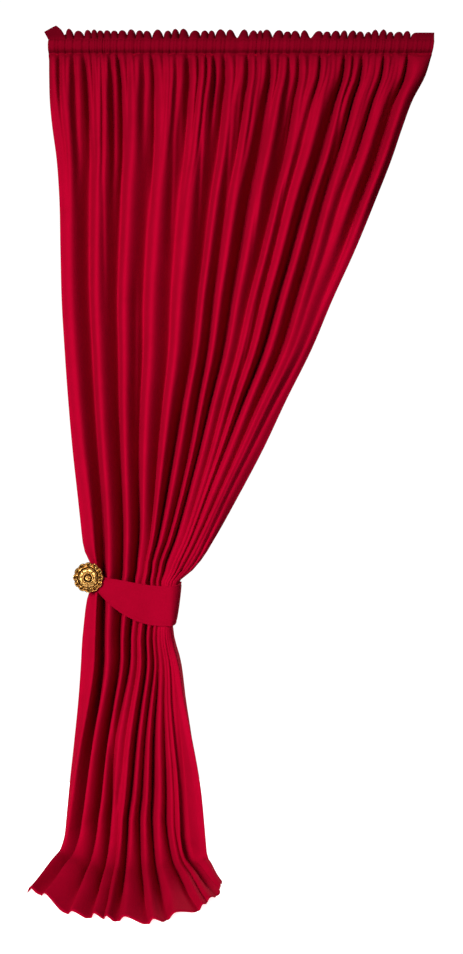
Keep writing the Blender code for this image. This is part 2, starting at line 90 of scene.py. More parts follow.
def add_node(material, kind, settings=None, links=None):
    """A shader node with its settings, by socket name, socket number or property, and its links."""
    node = material.node_tree.nodes.new(kind)
    for name, value in (settings or {}).items():
        if isinstance(name, int) or name in node.inputs:
            node.inputs[name].default_value = value
        else:
            setattr(node, name, value)
    for name, socket in (links or {}).items():
        material.node_tree.links.new(socket, node.inputs[name])
    return node


def new_material(name):
    material = bpy.data.materials.new(name)
    material.use_nodes = True
    material.node_tree.nodes.clear()
    return material


print("mid grey is", round(linear("#808080")[0], 3), "in linear light")

# %% [markdown]
# The studio's light
# A white world and a nearly white floor melt into one plain backdrop. The world lights the cloth only
# softly and from overhead, because the shadows in the folds of velvet are deep. The floor is a small disc
# for the same reason: a wide one would fill every fold from below. A large soft lamp at the front left
# brightens the side of each fold that faces it, and a weak one at the right opens the shadows. A third
# stands behind, so that the curtain's back can be seen, and its light doesn't reach the front.

# %% Light and floor
BACKDROP_STRENGTH = 1.05
AMBIENT_LEVEL = 0.02
AMBIENT_OVERHEAD = 0.36
AMBIENT_HEIGHTS = (0.1, 0.9)
KEY = {"place": (-2.7, -5.7, 0.8), "watts": 130.0, "size": 2.6, "spread": 70}
FILL = {"place": (2.8, -5.2, -1.0), "watts": 4.0, "size": 2.4, "spread": 60}
BACK = {"place": (2.2, 5.4, 0.6), "watts": 45.0, "size": 2.6, "spread": 60}
LIT_POINT = (-0.15, 0.0, -1.05)
FLOOR_RADIUS = 0.80
FLOOR_CENTRE = (-0.28, -0.10)
FLOOR_WHITE = "#F4F4F4"
FLOOR_GLOW = 0.90

world = bpy.data.worlds.new("white studio")
world.use_nodes = True
world.node_tree.nodes.clear()
seen = add_node(world, "ShaderNodeLightPath").outputs["Is Camera Ray"]
direction = add_node(world, "ShaderNodeTexCoord").outputs["Generated"]
height = add_node(world, "ShaderNodeSeparateXYZ", links={0: direction}).outputs["Z"]
strength = add_node(world, "ShaderNodeMapRange",
                    {"From Min": AMBIENT_HEIGHTS[0], "From Max": AMBIENT_HEIGHTS[1],
                     "To Min": AMBIENT_LEVEL, "To Max": AMBIENT_OVERHEAD},
                    {"Value": height}).outputs["Result"]
ambient = add_node(world, "ShaderNodeBackground", {"Color": (1, 1, 1, 1)}, {"Strength": strength})
backdrop = add_node(world, "ShaderNodeBackground", {"Color": (1, 1, 1, 1), "Strength": BACKDROP_STRENGTH})
both = add_node(world, "ShaderNodeMixShader",
                links={0: seen, 1: ambient.outputs[0], 2: backdrop.outputs[0]})
add_node(world, "ShaderNodeOutputWorld", links={"Surface": both.outputs[0]})
scene.world = world


def add_lamp(name, place, watts, size, spread):
    lamp_data = bpy.data.lights.new(name, "AREA")
    lamp_data.shape = "DISK"
    lamp_data.size = size
    lamp_data.energy = watts
    lamp_data.spread = math.radians(spread)
    lamp = bpy.data.objects.new(name, lamp_data)
    lamp.location = place
    lamp.rotation_euler = (Vector(LIT_POINT) - Vector(place)).to_track_quat("-Z", "Y").to_euler()
    scene.collection.objects.link(lamp)


add_lamp("key", **KEY)
add_lamp("fill", **FILL)
add_lamp("back", **BACK)

floor_white = new_material("matt white floor")
floor_shader = add_node(floor_white, "ShaderNodeBsdfPrincipled",
                        {"Base Color": linear(FLOOR_WHITE), "Roughness": 0.9, "Specular IOR Level": 0.1,
                         "Emission Color": (1, 1, 1, 1), "Emission Strength": FLOOR_GLOW})
add_node(floor_white, "ShaderNodeOutputMaterial", links={"Surface": floor_shader.outputs["BSDF"]})
bpy.ops.mesh.primitive_circle_add(vertices=96, radius=FLOOR_RADIUS, fill_type="NGON",
                                  location=(*FLOOR_CENTRE, FLOOR_Z))
floor = bpy.context.object
floor.name = "studio_floor"
floor.data.materials.append(floor_white)
print("key", KEY["watts"], "W, fill", FILL["watts"], "W, back", BACK["watts"], "W")

# %% [markdown]
# Cotton velvet
# Velvet is woven with a short upright pile, which swallows light seen from straight above and glows where
# it is seen from its side. The eye reads that as deep colour in the hollows and a soft bloom on the
# crests. A rough base with a tinted sheen gives this, and two noises give the brushed patches and the
# grain of the pile. Shade is also painted into its colour: darker towards the top, and darkest in the
# gathered heading and its frill. The stiffened tieback's pile is pressed a little flat.

# %% Velvet finish
# Tufts of the pile are 0.3 mm apart, too fine to show here, so their grain is drawn five times as coarse
PILE_MM = 1.6
BRUSHED_MM = 70.0
VELVET_DEEP = "#84001A"
VELVET_BRIGHT = "#960022"
VELVET_SHEEN = "#FF0038"
PRESSED_PILE = 0.84
# Painted shade: the velvet's colour is darkened towards the top, most in the gathered heading and its frill
PAINTED_SHADE_TABLE = (
    # z, how bright the painted shade leaves the velvet there
    (-0.550, 1.00),
    (-0.300, 0.93),
    (-0.160, 0.87),
    (-0.060, 0.78),
    (-0.030, 0.60),
    (-0.018, 0.56),
    (-0.012, 0.50),
    (0.014, 0.50),
    (0.032, 0.34),
)


def velvet_material(name, upright_pile=1.0):
    """Velvet that wanders between two crimsons in brushed patches, with shade painted darker towards the
    top.
    """
    material = new_material(name)
    place = add_node(material, "ShaderNodeTexCoord").outputs["Object"]
    brushed = add_node(material, "ShaderNodeTexNoise",
                       {"Scale": 1000 / BRUSHED_MM, "Detail": 3.0, "Roughness": 0.6}, {"Vector": place})
    pile = add_node(material, "ShaderNodeTexNoise",
                    {"Scale": 1000 / PILE_MM, "Detail": 2.0, "Roughness": 0.7}, {"Vector": place})
    colour = add_node(material, "ShaderNodeMix",
                      {"data_type": "RGBA", 6: [c * upright_pile for c in linear(VELVET_DEEP)],
                       7: [c * upright_pile for c in linear(VELVET_BRIGHT)]},
                      {"Factor": brushed.outputs["Fac"]})
    height = add_node(material, "ShaderNodeSeparateXYZ", links={0: place}).outputs["Z"]
    lowest, highest = PAINTED_SHADE_TABLE[0][0], PAINTED_SHADE_TABLE[-1][0]
    level = add_node(material, "ShaderNodeMapRange", {"From Min": lowest, "From Max": highest},
                     {"Value": height})
    # The painted shade by height, from the table above
    painted_shade_ramp = add_node(material, "ShaderNodeValToRGB", links={"Fac": level.outputs["Result"]})
    stops = painted_shade_ramp.color_ramp.elements
    for z, _ in PAINTED_SHADE_TABLE[1:-1]:
        stops.new((z - lowest) / (highest - lowest))
    for stop, (_, bright) in zip(stops, PAINTED_SHADE_TABLE):
        stop.color = (bright, bright, bright, 1)
    shade = add_node(material, "ShaderNodeVectorMath", {"operation": "MULTIPLY"},
                     {0: colour.outputs[2], 1: painted_shade_ramp.outputs["Color"]})
    bump = add_node(material, "ShaderNodeBump", {"Strength": 0.25, "Distance": 0.0006},
                    {"Height": pile.outputs["Fac"]})
    shader = add_node(material, "ShaderNodeBsdfPrincipled",
                      {"Roughness": 0.95, "Specular IOR Level": 0.02, "IOR": 1.53,
                       "Sheen Weight": 0.16, "Sheen Roughness": 0.35, "Sheen Tint": linear(VELVET_SHEEN)},
                      {"Base Color": shade.outputs["Vector"], "Normal": bump.outputs["Normal"]})
    add_node(material, "ShaderNodeOutputMaterial", links={"Surface": shader.outputs["BSDF"]})
    return material


velvet = velvet_material("crimson cotton velvet")
pressed_velvet = velvet_material("crimson velvet on the stiffened tieback", PRESSED_PILE)
print("velvet:", VELVET_DEEP, "to", VELVET_BRIGHT)

# %% [markdown]
# The draped length: its outline and depth
# A simulated cloth would fall in folds of its own, so these are placed from a few short tables.
# The first two say where the left and right hems are at each drop below the rod, and how far the folds
# stand out there. Nearly the same tables shaped the solid model; here they are sampled far more finely.

# %% Outline and depth
CLOTH = 0.002
HEADING_BOTTOM_Z = -0.020
EDGE_TABLE = (
    # drop, left, right
    (0.02, -0.521, 0.514),
    (0.08, -0.520, 0.495),
    (0.14, -0.517, 0.463),
    (0.22, -0.509, 0.433),
    (0.30, -0.498, 0.406),
    (0.41, -0.490, 0.363),
    (0.55, -0.487, 0.306),
    (0.68, -0.484, 0.247),
    (0.82, -0.476, 0.188),
    (0.95, -0.467, 0.123),
    (1.09, -0.455, 0.057),
    (1.22, -0.441, -0.012),
    (1.33, -0.430, -0.074),
    (1.39, -0.425, -0.112),
    (1.415, -0.423, -0.134),
    (1.445, -0.421, -0.170),
    (1.485, -0.420, -0.180),
    (1.55, -0.425, -0.187),
    (1.60, -0.430, -0.182),
    (1.66, -0.433, -0.166),
    (1.76, -0.440, -0.150),
    (1.87, -0.451, -0.128),
    (1.98, -0.463, -0.109),
    (2.09, -0.474, -0.096),
    (2.20, -0.485, -0.086),
)

DEPTH_TABLE = (
    # drop, depth of the folds, how far their middle stands towards the wall
    (0.02, 0.002, 0.000),
    (0.05, 0.022, 0.000),
    (0.09, 0.041, 0.000),
    (0.15, 0.055, 0.000),
    (0.26, 0.062, 0.000),
    (0.41, 0.068, 0.000),
    (0.60, 0.068, 0.001),
    (0.80, 0.067, 0.002),
    (1.20, 0.068, 0.006),
    (1.39, 0.072, 0.008),
    (1.55, 0.072, 0.008),
    (1.74, 0.077, 0.004),
    (1.90, 0.078, 0.000),
    (2.10, 0.070, 0.000),
)
print("outline from", EDGE_TABLE[0][0], "to", EDGE_TABLE[-1][0], "m below the rod")

# %% [markdown]
# The draped length: the valleys
# Each valley between two folds is a line from the heading to the hem. So one table says where each line
# crosses the cloth, as a share of its width, and another how deep it is there, as a share of the folds'
# depth. The last one says how the folds lean to the left, which they do most in the free cloth above the
# tieback.

# %% Valley lines and lean
CROWDED_WIDTH = 0.003
CREST_AT = 0.46
NARROW_AT = 0.14

# The roomy width is what a fold needs before its valleys are as deep as the tables say. The
# first fold lies beside the left hem, and turns a broad face to the room near the tieback
LEAN_TABLE = (
    # drop, lean, fall, roomy width, lean of the first fold
    (0.06, 0.20, 1.00, 0.044, 0.20),
    (0.25, 0.36, 1.05, 0.044, 0.36),
    (0.80, 0.46, 1.00, 0.044, 0.46),
    (1.08, 0.32, 0.78, 0.042, 0.00),
    (1.28, 0.16, 0.56, 0.034, -0.70),
    (1.45, 0.12, 0.48, 0.030, -1.10),
    (1.60, 0.10, 0.50, 0.022, -1.20),
    (1.80, 0.18, 0.64, 0.020, -0.90),
    (1.97, 0.26, 0.78, 0.020, -0.30),
    (2.20, 0.60, 0.60, 0.020, 0.60),
)

PLACE_DROPS = (0.02, 0.14, 0.41, 0.82, 1.22, 1.33, 1.40, 1.46, 1.60, 1.87, 2.09)
VALLEY_PLACES = (
    # share of the width at each of the drops above, one line for each valley from hem to hem
    (0.0,) * len(PLACE_DROPS),
    (0.094, 0.103, 0.090, 0.106, 0.138, 0.150, 0.160, 0.175, 0.208, 0.138, 0.107),
    (0.181, 0.195, 0.190, 0.212, 0.268, 0.296, 0.322, 0.380, 0.396, 0.267, 0.221),
    (0.270, 0.285, 0.280, 0.313, 0.377, 0.422, 0.456, 0.530, 0.515, 0.345, 0.318),
    (0.365, 0.380, 0.373, 0.419, 0.475, 0.512, 0.537, 0.622, 0.600, 0.430, 0.385),
    (0.460, 0.476, 0.475, 0.516, 0.547, 0.570, 0.592, 0.708, 0.685, 0.516, 0.443),
    (0.520, 0.535, 0.530, 0.577, 0.629, 0.644, 0.656, 0.780, 0.765, 0.588, 0.525),
    (0.580, 0.597, 0.598, 0.642, 0.679, 0.700, 0.717, 0.836, 0.815, 0.660, 0.612),
    (0.655, 0.673, 0.677, 0.700, 0.742, 0.763, 0.776, 0.876, 0.862, 0.750, 0.715),
    (0.710, 0.724, 0.718, 0.748, 0.775, 0.792, 0.805, 0.898, 0.890, 0.788, 0.760),
    (0.775, 0.788, 0.780, 0.805, 0.805, 0.822, 0.836, 0.920, 0.918, 0.825, 0.807),
    (0.821, 0.836, 0.835, 0.878, 0.868, 0.874, 0.884, 0.944, 0.942, 0.890, 0.880),
    (0.877, 0.891, 0.890, 0.925, 0.900, 0.908, 0.919, 0.963, 0.962, 0.930, 0.925),
    (0.939, 0.953, 0.956, 0.967, 0.937, 0.946, 0.959, 0.982, 0.982, 0.968, 0.965),
    (1.0,) * len(PLACE_DROPS),
)

VALLEY_DROPS = (0.06, 0.41, 0.82, 1.22, 1.40, 1.60, 1.87, 2.09, 2.30)
VALLEY_DEPTHS = (
    (0.30, 0.30, 0.30, 0.35, 0.40, 0.40, 0.35, 0.35, 0.60),
    (0.90, 0.90, 0.90, 0.90, 0.90, 1.10, 1.00, 0.90, 0.90),
    (1.00, 1.00, 1.00, 1.00, 1.00, 0.90, 0.90, 0.95, 0.95),
    (0.80, 0.75, 0.90, 0.90, 1.00, 0.90, 0.30, 0.80, 0.90),
    (0.80, 0.75, 0.80, 0.60, 0.25, 0.20, 0.15, 0.10, 0.40),
    (1.00, 1.00, 1.00, 1.00, 1.00, 0.75, 0.75, 0.85, 0.95),
    (0.40, 0.60, 0.90, 1.00, 0.60, 0.68, 0.45, 0.75, 0.90),
    (0.80, 1.00, 1.00, 1.00, 1.00, 0.30, 0.60, 0.80, 0.90),
    (0.70, 1.00, 0.40, 0.60, 0.30, 0.50, 0.62, 0.70, 0.95),
    (0.30, 0.45, 0.50, 0.30, 0.25, 0.20, 0.15, 0.15, 0.30),
    (1.00, 1.00, 1.00, 1.00, 0.90, 0.70, 0.50, 0.62, 0.90),
    (0.80, 0.80, 1.00, 0.90, 0.80, 0.60, 0.62, 0.60, 0.40),
    (0.70, 0.40, 0.15, 0.20, 0.30, 0.30, 0.16, 0.14, 0.20),
    (0.90, 0.90, 0.90, 0.90, 0.90, 0.60, 0.22, 0.18, 0.35),
    (0.40, 0.50, 0.60, 0.60, 0.60, 0.75, 0.85, 0.85, 0.65),
)
print("valley lines", len(VALLEY_PLACES), "with both hems")

# %% [markdown]
# The draped length: pleats, hem and grip
# Every main fold takes up a whole number of small pleats under the heading, and of ruffles in its frill.
# On the floor the hem has its own table, with a row for each valley line, which also says how wide the
# cloth bends there. The rest says where the folds are smoothed out, and where the tieback rounds off the
# bundle.

# %% Pleats, hem and grip
PLEATS = (3, 4, 3, 3, 4, 2, 2, 3, 2, 2, 2, 2, 2, 1)
RUFFLES = (4, 5, 4, 4, 4, 2, 3, 3, 2, 3, 2, 3, 3, 2)
FAN_DROPS = (1.62, 2.02)
TRAIL_DEPTH = 0.020
HEM_BEYOND = 0.10
FLOOR_LEAN = 0.10

HEM_TABLE = (
    # hem x, hem y, y above the floor, bend radius
    (-0.545, -0.203, 0.045, 0.060),
    (-0.510, -0.215, 0.034, 0.080),
    (-0.430, -0.322, 0.018, 0.110),
    (-0.369, -0.347, 0.006, 0.135),
    (-0.335, -0.362, 0.002, 0.145),
    (-0.300, -0.364, 0.000, 0.150),
    (-0.228, -0.380, 0.000, 0.150),
    (-0.182, -0.358, 0.000, 0.140),
    (-0.109, -0.308, -0.002, 0.115),
    (-0.088, -0.275, -0.006, 0.100),
    (-0.066, -0.222, -0.012, 0.060),
    (-0.058, -0.190, -0.018, 0.050),
    (-0.055, -0.168, -0.023, 0.042),
    (-0.053, -0.150, -0.028, 0.036),
    (-0.052, -0.132, -0.034, 0.030),
)

# Where the cloth is plain its crests sink into one even slope: along the right hem from a
# third of the way down, and below the tie on everything right of the big fold
PLAIN_FROM_FOLD = 10
HEM_FROM_FOLD = 12
PLAIN_TABLE = (
    # drop, share of each crest that is left from the plain fold on, and beside the hem
    (0.38, 1.00, 1.00),
    (0.56, 1.00, 0.30),
    (0.70, 1.00, 0.10),
    (1.25, 1.00, 0.10),
    (1.40, 1.00, 0.60),
    (1.56, 1.00, 1.00),
    (1.66, 0.60, 0.60),
    (1.80, 0.12, 0.12),
    (2.20, 0.04, 0.04),
)

TIE_TURN_X = -0.193
TIE_TURN_REACH = 0.0300
TIE_SLACK = 0.0035
TIE_LEAN = 0.13
TIE_TOP_DROP = 1.445
TIE_GRIP_DROPS = (1.37, 1.43, 1.57, 1.64)
GRIP_LIMIT = 0.97
print("pleats", sum(PLEATS), "and ruffles", sum(RUFFLES), "in", len(PLEATS), "folds")

# %% [markdown]
# The draped length: from tables to points
# Across the cloth a fold rises from the valley on its left, rounds over its crest and falls to the next
# one, in two eased curves whose phases are bent so that the crest leans. Near the floor the folds turn
# from facing the room to fanning out along the ground, so each is pushed out along the way its own part
# of the hem trails.

# %% Fold functions
SECTION_LEVELS = 9


def smooth(xs, ys, x):
    """The table's value at x, on a smooth curve through its points."""
    xs = np.asarray(xs, float)
    ys = np.asarray(ys, float)
    x = min(max(x, xs[0]), xs[-1])
    i = min(int(np.searchsorted(xs, x, side="right")) - 1, len(xs) - 2)
    slopes = np.gradient(ys, xs, axis=0)
    step = xs[i + 1] - xs[i]
    t = (x - xs[i]) / step
    start = (1 + 2 * t) * (1 - t) ** 2 * ys[i] + t * (1 - t) ** 2 * step * slopes[i]
    end = t * t * (3 - 2 * t) * ys[i + 1] + t * t * (t - 1) * step * slopes[i + 1]
    return start + end


def ease(q):
    """0 to 1 with level ends."""
    return 0.5 - 0.5 * np.cos(np.pi * np.clip(q, 0, 1))


def cloth_columns(counts, samples):
    """The fold that each column of the cloth lies in, and how far across that fold it is."""
    folds, phases = [], []
    for fold, count in enumerate(counts):
        for k in range(count * samples):
            folds.append(fold)
            phases.append(k / (count * samples))
    return np.array(folds + [len(counts) - 1]), np.array(phases + [1.0])


def valley_lines(drop):
    """x of every valley line, the valleys' shares of depth, and DEPTH_TABLE's row at this drop."""
    edges = np.array(EDGE_TABLE)
    left, right = smooth(edges[:, 0], edges[:, 1:], drop)
    places = smooth(PLACE_DROPS, np.transpose(VALLEY_PLACES), drop)
    valleys = smooth(VALLEY_DROPS, np.transpose(VALLEY_DEPTHS), drop)
    depths = np.array(DEPTH_TABLE)
    return left + (right - left) * places, valleys, smooth(depths[:, 0], depths[:, 1:], drop)


def fold_section(drop, fold, phase):
    """x of each column at this drop, and its relief: 0 in a full valley, 1 on a crest."""
    lines, valleys, (depth, _) = valley_lines(drop)
    widths = np.diff(lines)
    beside = np.minimum(np.append(widths[0], widths), np.append(widths, 1.0))
    # The line at the right hem has room beside it, however narrow its fold is
    beside[-1] = 1.0
    table = np.array(LEAN_TABLE)
    lean, fall, roomy, first = (np.interp(drop, table[:, 0], table[:, k]) for k in (1, 2, 3, 4))
    valleys = valleys * ease((beside - CROWDED_WIDTH) / (roomy - CROWDED_WIDTH))
    width = widths[fold]
    deep = 0.5 * (valleys[fold] + valleys[fold + 1])
    turn = 2 * np.pi
    lean = np.where(fold == 0, first, lean) * deep * np.minimum(1, depth / width) / turn
    shift = np.sin(turn * (phase - NARROW_AT)) + math.sin(turn * NARROW_AT)
    x = lines[fold] + width * (phase - lean * shift)
    plain = np.array(PLAIN_TABLE)
    kept = np.where(fold >= PLAIN_FROM_FOLD, np.interp(drop, plain[:, 0], plain[:, 1]), 1.0)
    kept = np.where(fold >= HEM_FROM_FOLD, np.interp(drop, plain[:, 0], plain[:, 2]), kept)
    before, after = 1 - valleys[fold], 1 - valleys[fold + 1]
    level = before + (after - before) * ease(phase)
    rising = before + (1 - before) * ease(phase / CREST_AT)
    falling = after + (1 - after) * ease((1 - phase) / (1 - CREST_AT)) ** fall
    return x, level + kept * (np.where(phase < CREST_AT, rising, falling) - level)


def section_each(drops, fold, phase):
    """x and relief as above, with each column at its own drop."""
    levels = np.linspace(drops.min() - 0.001, drops.max() + 0.001, SECTION_LEVELS)
    sections = np.array([fold_section(level, fold, phase) for level in levels])
    place = (drops - levels[0]) / (levels[1] - levels[0])
    lower = place.astype(int)
    column = np.arange(len(fold))
    first, second = sections[lower, :, column], sections[lower + 1, :, column]
    return (first + (second - first) * (place - lower)[:, None]).T


def leaning(phase):
    """Phase across a floor fold, with its crest drawn to the left."""
    turn = 2 * np.pi
    return phase - FLOOR_LEAN * (np.sin(turn * (phase - NARROW_AT)) + math.sin(turn * NARROW_AT))


def across(table_column, fold, phase):
    """A column of HEM_TABLE at each column of the cloth."""
    values = np.array(HEM_TABLE)[:, table_column]
    lines = np.arange(len(values))
    return np.array([smooth(lines, values, f + p) for f, p in zip(fold, phase)])


class Trail:
    """Where each column of the cloth comes down, and the way it runs out on the floor."""

    def __init__(self, fold, phase):
        x, _ = fold_section(-FLOOR_Z, fold, phase)
        self.foot = np.column_stack([x, across(2, fold, phase)])
        hem_phase = leaning(phase)
        self.hem = np.column_stack([across(0, fold, hem_phase), across(1, fold, hem_phase)])
        run = self.hem - self.foot
        self.length = np.linalg.norm(run, axis=1)
        self.heading = run / self.length[:, None]
        self.radius = across(3, fold, phase)


def gripped(drop, x):
    """How much of the folds' depth is left where the tieback rounds off the bundle's right end."""
    above, top, bottom, below = TIE_GRIP_DROPS
    grip = ease((drop - above) / (top - above)) * ease((below - drop) / (below - bottom))
    turn_x = TIE_TURN_X - TIE_LEAN * (drop - TIE_TOP_DROP)
    past = np.clip((x - turn_x) / (TIE_TURN_REACH - TIE_SLACK), 0, GRIP_LIMIT)
    return 1 - grip * (1 - np.sqrt(1 - past ** 2))


floor_lines, _, _ = valley_lines(-FLOOR_Z)
print("width at the floor", round(floor_lines[-1] - floor_lines[0], 3), "m")

# %% [markdown]
# The seam under the heading
# The pocket is stitched across the same length of cloth, so the panel starts right under the heading's
# lower stitch line. One wave, with a ruffle to each gather of the thread, shapes both sides of that seam.
# The ruffles of a fold drift a little to its left or right, because no two gathers are alike.

# %% The gathering wave
SEAM_WAVE = 0.003
PLAIN_END_WAVE = 0.2
PLAIN_END_REACH = 0.25
GATHER_SEED = 11
RUFFLE_DRIFT = 0.20
rng = np.random.default_rng(GATHER_SEED)
ruffle_drift = rng.uniform(-RUFFLE_DRIFT, RUFFLE_DRIFT, len(RUFFLES))


def ruffle_turn(fold, phase):
    return np.array(RUFFLES)[fold] * phase + ruffle_drift[fold] * np.sin(2 * np.pi * phase)


def ruffle_wave(fold, phase):
    """-1 in the hollow between two ruffles to 1 on a ruffle; the last fold is left plain."""
    wave = -np.cos(2 * np.pi * ruffle_turn(fold, phase))
    last = fold == len(RUFFLES) - 1
    plain = ease(phase / PLAIN_END_REACH) * last
    return wave * (1 - plain) + PLAIN_END_WAVE * plain


print("ruffles drift by up to", round(abs(ruffle_drift).max(), 2), "of their own width")

# %% [markdown]
# The gathers and the creases
# Under the heading the cloth stands in small pleats, and in finer gathers under each ruffle of the
# thread. Each has its own strength and dies out at its own drop, as the cloth opens into the main folds.
# A few short creases cross the broad faces. A crease is placed by the two ends of its line, and it is
# soft on its left and steep on its right, as the folds lean to the left.

# %% Pleats and creases
PLEAT_REACH = (0.10, 0.40)
PLEAT_STRENGTH = (0.55, 1.25)
PLEAT_DRIFT = 0.16
PLEAT_SHARPNESS = 1.7
PLEAT_TABLE = (
    # drop, depth of the pleats
    (0.020, 0.010),
    (0.036, 0.015),
    (0.090, 0.019),
    (0.160, 0.020),
    (0.260, 0.018),
    (0.450, 0.014),
)
CREASES = (
    # x and drop at its top, x and drop at its foot, half width, depth
    (-0.471, 0.13, -0.462, 0.52, 0.008, 0.005),
    (-0.374, 0.15, -0.369, 0.80, 0.010, 0.006),
    (-0.228, 0.12, -0.247, 0.52, 0.008, 0.012),
    (-0.180, 0.15, -0.198, 0.62, 0.010, 0.006),
    (-0.101, 0.13, -0.123, 0.55, 0.009, 0.007),
    (-0.023, 0.13, -0.053, 0.52, 0.009, 0.007),
    (0.072, 0.15, 0.018, 0.62, 0.010, 0.007),
    (0.158, 0.13, 0.090, 0.50, 0.009, 0.007),
    (0.279, 0.14, 0.207, 0.48, 0.009, 0.006),
    (0.360, 0.12, 0.279, 0.42, 0.009, 0.006),
    (-0.285, 0.55, -0.292, 1.25, 0.010, 0.005),
    (0.050, 0.62, -0.050, 1.08, 0.010, 0.006),
    (-0.345, 1.68, -0.352, 1.98, 0.009, 0.007),
    (-0.228, 1.62, -0.222, 1.86, 0.007, 0.006),
    (-0.318, 1.95, -0.350, 2.14, 0.008, 0.008),
)
CREASE_FADES = (0.3, 0.5)
CREASE_STEEPER = 2.2

GATHER_REACH = (0.12, 0.30)
GATHER_SHARPNESS = 2.0
GATHER_LEVEL = 0.3
GATHER_TABLE = (
    # share of the gather's own reach, depth
    (0.07, 0.000),
    (0.18, 0.010),
    (0.50, 0.008),
    (1.00, 0.000),
)

pleat_count = sum(PLEATS)
pleat_reach = rng.uniform(*PLEAT_REACH, pleat_count)
pleat_strength = rng.uniform(*PLEAT_STRENGTH, pleat_count)
fold_drift = rng.uniform(-PLEAT_DRIFT, PLEAT_DRIFT, len(PLEATS))
gather_reach = rng.uniform(*GATHER_REACH, sum(RUFFLES) + 1)


def pleat_out(drop, fold, phase):
    """How far the small pleats bring each column forward at this drop."""
    counts = np.array(PLEATS)
    first = np.concatenate([[0], np.cumsum(counts)])[:-1]
    turn = counts[fold] * phase + fold_drift[fold] * np.sin(2 * np.pi * phase)
    centres = np.arange(pleat_count) + 0.5
    reach = np.interp(first[fold] + turn, centres, pleat_reach)
    strength = np.interp(first[fold] + turn, centres, pleat_strength)
    table = np.array(PLEAT_TABLE)
    depth = np.interp(drop, table[:, 0], table[:, 1])
    left = 1 - ease((drop - 0.5 * reach) / reach)
    hollow = (0.5 + 0.5 * np.cos(2 * np.pi * turn)) ** PLEAT_SHARPNESS
    return (0.5 - hollow) * depth * strength * left


def gather_out(drop, fold, phase):
    """How far the finest gathers, one under each ruffle of the heading, stand out at this drop."""
    table = np.array(GATHER_TABLE)
    turn = np.concatenate([[0], np.cumsum(RUFFLES)])[fold] + ruffle_turn(fold, phase)
    reach = np.interp(turn, np.arange(len(gather_reach)), gather_reach)
    depth = np.interp(drop / reach, table[:, 0], table[:, 1])
    return depth * (GATHER_LEVEL - (0.5 - 0.5 * ruffle_wave(fold, phase)) ** GATHER_SHARPNESS)


def crease_depth(drop, x):
    """How far the short creases press each column back at this drop."""
    total = np.zeros(len(x))
    for x_top, top, x_foot, foot, half_width, depth in CREASES:
        along = (drop - top) / (foot - top)
        if 0 < along < 1:
            off = (x - x_top - (x_foot - x_top) * along) / half_width
            fade = ease(along / CREASE_FADES[0]) * ease((1 - along) / CREASE_FADES[1])
            total += depth * fade * np.exp(-np.where(off < 0, off, CREASE_STEEPER * off) ** 2)
    return total


print("pleats", pleat_count, "creases", len(CREASES))

# %% [markdown]
# The draped length, made
# One grid of points follows the cloth from the seam down to the floor, round the bend and out to the hem,
# and Solidify gives it the thickness of velvet with its turned hems. On the floor most of the cloth lies
# flat, with ridges that narrow towards the hem and lift it in small arches, so the relief is raised to a
# power there. Each fold ends in a lobe of the hem, which reaches a little further out than its two sides.

# %% Build the draped length
SAMPLES_PER_PLEAT = 11
HANGING_ROWS = 92
BEND_ROWS = 12
TRAIL_ROWS = 18
LAST_HANGING_DROP = 2.03
EVEN_ROWS = 0.55
ROW_CROWDING = 1.6
SEAM_DROPS = (0.0203, 0.036)
STEM_DROP = 1.4262
PINCH_HALF_HEIGHT = 0.045
PINCH_WIDTH = 0.050
EDGE_CLEAR_OF_STEM = -0.3965
FLOOR_RIDGE_HEIGHT = 0.034
HEM_RIDGE_HEIGHT = 0.015
HEM_RIDGE_POWER = 2.6
HEM_LOBES = (0.004, 0.006, 0.011, 0.004, 0.009, 0.006, 0.012,
             0.006, 0.010, 0.007, 0.009, 0.003, 0.006, 0.003)
LOBE_ENDS = (0.70, 0.26)


def drawn_in(drop, x):
    """The left edge steps aside for the holdback's stem, and no more than the first fold goes with it."""
    past = (drop - STEM_DROP) / PINCH_HALF_HEIGHT
    edge = EDGE_CLEAR_OF_STEM - x.min()
    share = ease(1 - (x - x.min()) / PINCH_WIDTH)
    return x + edge * math.exp(-past * past) * share


def draped_row(drop, fold, phase, trail):
    """The points of one level row, with pleats, creases and the seam."""
    x, relief = fold_section(drop, fold, phase)
    x = drawn_in(drop, x)
    _, _, (depth, towards_wall) = valley_lines(drop)
    out = (relief - 0.5) * depth + pleat_out(drop, fold, phase) + gather_out(drop, fold, phase)
    out = out - crease_depth(drop, x)
    out = out * gripped(drop, x)
    away = ease((drop - SEAM_DROPS[0]) / (SEAM_DROPS[1] - SEAM_DROPS[0]))
    out = (1 - away) * SEAM_WAVE * ruffle_wave(fold, phase) + away * out
    fan = ease((drop - FAN_DROPS[0]) / (FAN_DROPS[1] - FAN_DROPS[0]))
    facing = (1 - fan) * np.array([0.0, -1.0]) + fan * trail.heading
    facing /= np.linalg.norm(facing, axis=1)[:, None]
    y = (1 - fan) * towards_wall + fan * trail.foot[:, 1]
    plan = np.column_stack([x, y]) + facing * out[:, None]
    return np.column_stack([plan, np.full(len(x), -drop)])


